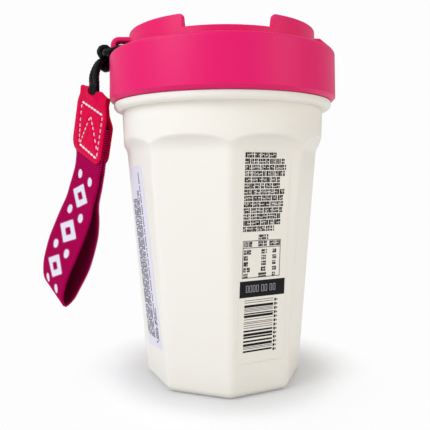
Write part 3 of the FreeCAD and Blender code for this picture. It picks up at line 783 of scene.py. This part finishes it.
# %% [markdown]
# ## The stitches
#
# Thick white thread shows on the leather as a row of short lumps, each sunk
# at its ends where it goes into its holes. Two rows across are sewn with a
# back stitch, so their lumps nearly touch. The rows down the sides and the V
# between them are plain stitches with gaps. The same rows come out at the
# back of the tab.


# %% Stitches
def thread():
    material, tree, shader = new_material("polyester thread, white, twisted")
    place = add(tree, "TexCoord")
    ply = add(tree, "TexWave",
              {"Vector": place.outputs["Object"], "Scale": 1000 / 0.5 / 6.283, "Distortion": 1.5},
              bands_direction="DIAGONAL")
    relief = add(tree, "Bump", {"Height": ply.outputs[1], "Strength": 0.5, "Distance": 0.05 * MM})
    tree.links.new(relief.outputs[0], shader.inputs["Normal"])
    # the twist is painted darker in its grooves than on its crests: painted shade
    tone = add(tree, "Mix", {0: ply.outputs[1], 6: colour("DCD2D6"), 7: colour("FBF8F8")},
               data_type="RGBA")
    tree.links.new(tone.outputs[2], shader.inputs["Base Color"])
    shader.inputs["Roughness"].default_value = 0.55
    shader.inputs["Sheen Weight"].default_value = 0.2
    return material


def stitch_spots(rows, pitch, long, thick):
    """The middle, direction, length and thickness of each stitch in the rows."""
    spots = []
    for start, end in rows:
        line = Vector(end) - Vector(start)
        count = max(1, round(line.length / pitch))
        for index in range(count):
            middle = Vector(start) + line * ((index + 0.5) / count)
            spots.append((middle, line.normalized(), long, thick))
    return spots


def back_face(z):
    """How deep the tab's outer back face lies at a height."""
    return 1.9 + 2.2 * ease((-6.5 - z) / 6.5)


def make_stitches():
    spots = stitch_spots(SEAM_ROWS[:2], 2.6, 2.5, 0.95) + stitch_spots(SEAM_ROWS[2:], 2.45, 1.65, 0.55)
    bpy.ops.object.select_all(action="DESELECT")
    bpy.ops.mesh.primitive_uv_sphere_add(segments=14, ring_count=8, radius=0.5)
    lump = bpy.context.object
    copies = []
    for middle, along, long, thick in spots:
        for front in (True, False):
            stitch = lump.copy()
            stitch.data = lump.data.copy()
            bpy.context.scene.collection.objects.link(stitch)
            depth = 0.12 if front else back_face(middle.y) - 0.12
            turn = Matrix.Rotation(-math.atan2(along.y, along.x), 4, "Y")
            size = Matrix.Diagonal((long * MM, thick * MM, thick * MM, 1.0))
            spot = Matrix.Translation(Vector((middle.x, depth, middle.y)) * MM)
            stitch.matrix_world = spot @ turn @ size
            copies.append(stitch)
    bpy.data.objects.remove(lump)
    bpy.ops.object.select_all(action="DESELECT")
    for stitch in copies:
        stitch.select_set(True)
    bpy.context.view_layer.objects.active = copies[0]
    bpy.ops.object.transform_apply(location=True, rotation=True, scale=True)
    bpy.ops.object.join()
    piece = bpy.context.object
    piece.name = "tab_stitches"
    bpy.ops.object.shade_smooth()
    settle(piece, STRAP_PLACE)
    dress(piece, thread())
    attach(piece, "root")
    print(len(copies), "stitches")


make_stitches()

# %% [markdown]
# ## The webbing
#
# The strap is one band of ribbed webbing. It comes out of the front of the
# tab, hangs down, turns round at the bottom and goes up into the back of the
# tab. The band is twisted a little, so its two edges follow different lines,
# and the surface between them is ruled straight across. Each rib is modelled,
# because the ribs catch the light and shape the two scalloped edges. White
# diamonds and dots are woven into the outer face.
# Shade in the grooves between the ribs is painted into the webbing's colours, and so is shade on the
# plain side, which lies inside the loop.

# %% Webbing
# millimetres from the middle of the tab; RIB is one rib along the band
BAND_LEFT, BAND_RIGHT, BAND_THICK, RIB = -11.3, 12.7, 1.0, 0.93
BAND_COLUMNS, RIB_STEPS, RIB_RELIEF = 30, 5, 0.26
# (y, z) along the two edges, from the front of the tab round to its back
RIGHT_EDGE = [(1.475, -13), (1.475, -20), (1.475, -28), (1.27, -34), (1.14, -38.4), (0.52, -42.8),
              (0.17, -47.2), (-0.1, -51.6), (-0.8, -56.1), (-1.9, -60.5), (-3.05, -64.9),
              (-4.4, -69.4), (-5.8, -73.8), (-7.0, -78.3), (-7.7, -82.9), (-7.65, -87.7),
              (-5.7, -90.8), (-2.5, -87.9), (-0.55, -83.4), (1.35, -78.7), (2.75, -74.2),
              (3.55, -69.5), (4.05, -65.4), (4.4, -60.3), (4.2, -55.1), (3.6, -51), (2.8, -46.4),
              (2.7, -43), (2.98, -39), (3.1, -34.7), (3.1, -29.4), (2.625, -20), (2.625, -13)]
LEFT_EDGE = [(1.475, -13), (1.475, -20), (1.475, -26), (2.2, -31.4), (2.3, -36.5), (1.8, -40.6),
             (0.9, -46.1), (0.0, -51.1), (-1.7, -56.3), (-3.0, -60.5), (-4.5, -65.7),
             (-5.7, -70.5), (-6.5, -75.9), (-6.95, -81), (-6.7, -85.9), (-5.9, -89.7),
             (-4.2, -92.3), (-2.6, -89.5), (-0.8, -85.5), (0.9, -81), (2.6, -76), (3.7, -71),
             (4.3, -66), (4.6, -61), (4.4, -56), (3.8, -51), (3.4, -46), (3.4, -40), (3.5, -34),
             (3.1, -29), (2.625, -20), (2.625, -13)]


def smooth_edge(points, count):
    """Points a step apart on a smooth curve through the given (y, z) points."""
    knots = [Vector(p) for p in points]
    knots = [knots[0] * 2 - knots[1]] + knots + [knots[-1] * 2 - knots[-2]]
    close = []
    for a, b, c, d in zip(knots, knots[1:], knots[2:], knots[3:]):
        for step in range(16):
            t = step / 16
            close.append(((b * 2) + (c - a) * t + (a * 2 - b * 5 + c * 4 - d) * t ** 2
                          + (b * 3 - a - c * 3 + d) * t ** 3) * 0.5)
    close.append(knots[-2])
    total = line_length(close)
    return evenly(close, total / count), total


def make_webbing():
    rough_length = smooth_edge(RIGHT_EDGE, 100)[1]
    rows = round(rough_length / RIB) * RIB_STEPS
    right, right_length = smooth_edge(RIGHT_EDGE, rows)
    left, left_length = smooth_edge(LEFT_EDGE, rows)
    columns = BAND_COLUMNS
    length = (right_length + left_length) / 2
    waves = [math.sin(math.pi * (row % RIB_STEPS) / RIB_STEPS) for row in range(rows + 1)]

    def placed(column, row):
        share = column / columns
        y, z = left[row].lerp(right[row], share)
        swing = 0.22 * (waves[row] - 0.5) * (abs(2 * share - 1) ** 12) * (1 if share > 0.5 else -1)
        return BAND_LEFT + (BAND_RIGHT - BAND_LEFT) * share + swing, y, z

    def measured(column, row):
        return (BAND_LEFT + (BAND_RIGHT - BAND_LEFT) * column / columns) * MM, length * row / rows * MM

    band, spots = make_strip("webbing_band", columns, rows, placed, measured)
    band.data.materials.append(WOVEN_BACK_SHADED)
    band.data.materials.append(WOVEN_FACE)
    thicken(band, BAND_THICK - 0.2, material_offset=1, material_offset_rim=1)
    mesh = band.data
    normals = [v.normal.copy() for v in mesh.vertices]
    count = len(spots)
    for vertex in mesh.vertices:
        column, row = spots[vertex.index % count]
        vertex.co += normals[vertex.index] * (RIB_RELIEF * (waves[row] - 0.35) * MM)
    mesh.polygons.foreach_set("use_smooth", [True] * len(mesh.polygons))
    settle(band, STRAP_PLACE)
    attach(band, "root")
    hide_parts("strap_webbing")
    print("the webbing is %.1f mm long with %d ribs and %d faces"
          % (length, rows // RIB_STEPS, len(mesh.polygons)))


# woven figures, in metres along the band or out from their middle line
FIGURE_PITCH, FIGURE_FROM, FIGURE_TO = 0.0165, 0.0222, 0.0770
FIRST_FIGURE, FIGURE_SIDE = 0.02475, 0.0007
DIAMOND_HALF_WIDE, DIAMOND_HALF_TALL = 0.0078, 0.0056
DOT_OUT, DOT_RADIUS = 0.0052, 0.0020


def woven(name, rib_code, groove_shade_code, motif):
    """Ribbed webbing: bright ribs with painted shade in the grooves and, on the face, pale figures."""
    material, tree, shader = new_material(name)
    laid = add(tree, "UVMap", uv_map="laid flat")
    axes = add(tree, "SeparateXYZ", {0: laid.outputs[0]})
    across, along = axes.outputs[0], axes.outputs[1]
    turns = add(tree, "Math", {0: along, 1: math.pi / (RIB_LENGTH * MM)}, operation="MULTIPLY")
    wave = add(tree, "Math", {0: turns.outputs[0]}, operation="SINE")
    crest = add(tree, "Math", {0: wave.outputs[0]}, operation="ABSOLUTE")
    lit = add(tree, "MapRange", {0: crest.outputs[0], 1: 0.38, 2: 0.92})
    threads = add(tree, "TexNoise", {"Vector": laid.outputs[0], "Scale": 1000 / 0.35, "Detail": 2.0})
    bright = colour(rib_code)
    worn = (*(c * 0.72 for c in bright[:3]), 1.0)
    rib = add(tree, "Mix", {0: threads.outputs[0], 6: bright, 7: worn}, data_type="RGBA")
    # the colour goes dark towards the grooves between the ribs: painted shade
    base = add(tree, "Mix", {0: lit.outputs[0], 6: colour(groove_shade_code), 7: rib.outputs[2]},
               data_type="RGBA")
    last = base.outputs[2]
    if motif:
        field = add(tree, "Math", {0: along, 1: FIRST_FIGURE}, operation="SUBTRACT")
        cell = add(tree, "Math", {0: field.outputs[0], 1: FIGURE_PITCH}, operation="FLOORED_MODULO")
        middle = add(tree, "Math", {0: cell.outputs[0], 1: FIGURE_PITCH / 2}, operation="SUBTRACT")
        up = add(tree, "Math", {0: middle.outputs[0]}, operation="ABSOLUTE")
        side = add(tree, "Math", {0: across, 1: FIGURE_SIDE}, operation="SUBTRACT")
        out = add(tree, "Math", {0: side.outputs[0]}, operation="ABSOLUTE")
        slim = add(tree, "Math", {0: out.outputs[0], 1: 1 / DIAMOND_HALF_WIDE}, operation="MULTIPLY")
        tall = add(tree, "Math", {0: up.outputs[0], 1: 1 / DIAMOND_HALF_TALL}, operation="MULTIPLY")
        both = add(tree, "Math", {0: slim.outputs[0], 1: tall.outputs[0]}, operation="ADD")
        diamond = add(tree, "MapRange", {0: both.outputs[0], 1: 0.97, 2: 1.0, 3: 1.0, 4: 0.0})
        hollow = add(tree, "MapRange", {0: both.outputs[0], 1: 0.36, 2: 0.40})
        ring = add(tree, "Math", {0: diamond.outputs[0], 1: hollow.outputs[0]}, operation="MULTIPLY")
        away = add(tree, "Math", {0: FIGURE_PITCH / 2, 1: up.outputs[0]}, operation="SUBTRACT")
        off = add(tree, "Math", {0: out.outputs[0], 1: DOT_OUT}, operation="SUBTRACT")
        here = add(tree, "CombineXYZ", {0: off.outputs[0], 1: away.outputs[0]})
        reach = add(tree, "VectorMath", {0: here.outputs[0]}, operation="LENGTH")
        dot = add(tree, "MapRange",
                  {0: reach.outputs[1], 1: DOT_RADIUS - 0.0001, 2: DOT_RADIUS, 3: 1.0, 4: 0.0})
        shape = add(tree, "Math", {0: ring.outputs[0], 1: dot.outputs[0]}, operation="MAXIMUM")
        begin = add(tree, "Math", {0: along, 1: FIGURE_FROM}, operation="GREATER_THAN")
        end = add(tree, "Math", {0: along, 1: FIGURE_TO}, operation="LESS_THAN")
        span = add(tree, "Math", {0: begin.outputs[0], 1: end.outputs[0]}, operation="MULTIPLY")
        shown = add(tree, "Math", {0: shape.outputs[0], 1: span.outputs[0]}, operation="MULTIPLY")
        # the pale figures are painted darker in the grooves too: painted shade
        pale = add(tree, "Mix", {0: lit.outputs[0], 6: colour("C9C4D8"), 7: colour("F4F3FA")},
                   data_type="RGBA")
        figured = add(tree, "Mix", {0: shown.outputs[0], 6: last, 7: pale.outputs[2]},
                      data_type="RGBA")
        last = figured.outputs[2]
    tree.links.new(last, shader.inputs["Base Color"])
    relief = add(tree, "Bump", {"Height": threads.outputs[0], "Strength": 0.6, "Distance": 0.06 * MM})
    tree.links.new(relief.outputs[0], shader.inputs["Normal"])
    shader.inputs["Roughness"].default_value = 0.72
    shader.inputs["Specular IOR Level"].default_value = 0.02
    return material


def mean_rib():
    """The rib's length on the band's middle line, which the colours follow."""
    right = smooth_edge(RIGHT_EDGE, 100)[1]
    left = smooth_edge(LEFT_EDGE, 100)[1]
    return (right + left) / 2 / round(right / RIB)


RIB_LENGTH = mean_rib()
WOVEN_FACE = woven("polyester webbing, ribbed, deep pink with white figures", "E8046C", "260010", True)
# the plain side lies inside the loop, and its colours are darker than the face's as painted shade
WOVEN_BACK_SHADED = woven("polyester webbing, ribbed, deep pink, plain side", "C00458", "180008", False)
make_webbing()

# %% [markdown]
# ## The braided cord
#
# The cord is a round braid of sixteen plaits. A tube follows the cord's line,
# and its skin is raised where a plait passes over another, in the pattern of
# a braid: eight plaits run round one way and eight the other, over and under
# in turn.

# %% Cord
# sides of the tube; length of one crossing in millimetres; plaits each way
BRAID_SIDES, BRAID_CELL, PLAITS = 48, 2.0, 8


def braid_height(turn, along):
    """How high the skin stands at a turn of 0 to 1 and a length in millimetres."""
    one = turn * PLAITS + along / BRAID_CELL
    two = turn * PLAITS - along / BRAID_CELL
    over = (math.floor(one) + math.floor(two)) % 2 == 0
    wide = (one if over else two) % 1.0
    long = (two if over else one) % 1.0
    return math.sin(math.pi * wide) ** 0.6 * (0.45 + 0.55 * math.sin(math.pi * long))


def make_cord():
    line = CORD_LINE
    radius = CORD_MM / 2
    vertices, faces, laid = [], [], []
    side = (line[1] - line[0]).orthogonal().normalized()
    walked = 0.0
    for index, point in enumerate(line):
        ahead = (line[min(index + 1, len(line) - 1)] - line[max(index - 1, 0)]).normalized()
        side = (side - ahead * side.dot(ahead)).normalized()
        other = ahead.cross(side)
        if index:
            walked += (point - line[index - 1]).length / MM
        for sector in range(BRAID_SIDES):
            angle = 2 * math.pi * sector / BRAID_SIDES
            reach = radius - 0.22 + 0.27 * braid_height(sector / BRAID_SIDES, walked)
            vertices.append(point + (side * math.cos(angle) + other * math.sin(angle)) * reach * MM)
            laid.append((sector / BRAID_SIDES, walked))
    for index in range(len(line) - 1):
        for sector in range(BRAID_SIDES):
            a = index * BRAID_SIDES + sector
            b = index * BRAID_SIDES + (sector + 1) % BRAID_SIDES
            faces.append((a, b, b + BRAID_SIDES, a + BRAID_SIDES))
    last = (len(line) - 1) * BRAID_SIDES
    faces.append(tuple(range(BRAID_SIDES))[::-1])
    faces.append(tuple(range(last, last + BRAID_SIDES)))
    mesh = bpy.data.meshes.new("strap_cord")
    mesh.from_pydata([tuple(v) for v in vertices], [], faces)
    mesh.update()
    height = mesh.attributes.new("braid height", "FLOAT", "POINT")
    height.data.foreach_set("value", [braid_height(*spot) for spot in laid])
    mesh.polygons.foreach_set("use_smooth", [True] * len(mesh.polygons))
    cord = bpy.data.objects.new("strap_cord", mesh)
    bpy.context.scene.collection.objects.link(cord)
    dress(cord, braided())
    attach(cord, "root")
    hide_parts("cord_knot", "cord_loop", "cord_strand_left", "cord_strand_right")
    print("the cord has", len(mesh.polygons), "faces")


def braided():
    material, tree, shader = new_material("polyester cord, black, round braid")
    raised = add(tree, "Attribute", attribute_name="braid height")
    place = add(tree, "TexCoord")
    fibre = add(tree, "TexNoise",
                {"Vector": place.outputs["Object"], "Scale": 1000 / 0.25, "Detail": 2.0})
    # the plaits that stand up are painted lighter and bluer, and the hollows between them near black:
    # painted highlight and painted shade
    lift = add(tree, "MapRange", {0: raised.outputs["Fac"], 1: 0.3, 2: 1.0})
    tone = add(tree, "Mix", {0: lift.outputs[0], 6: colour("020202"), 7: colour("0D0F13")},
               data_type="RGBA")
    tree.links.new(tone.outputs[2], shader.inputs["Base Color"])
    relief = add(tree, "Bump", {"Height": fibre.outputs[0], "Strength": 0.5, "Distance": 0.05 * MM})
    tree.links.new(relief.outputs[0], shader.inputs["Normal"])
    shader.inputs["Roughness"].default_value = 0.30
    shader.inputs["Specular IOR Level"].default_value = 0.12
    return material


make_cord()
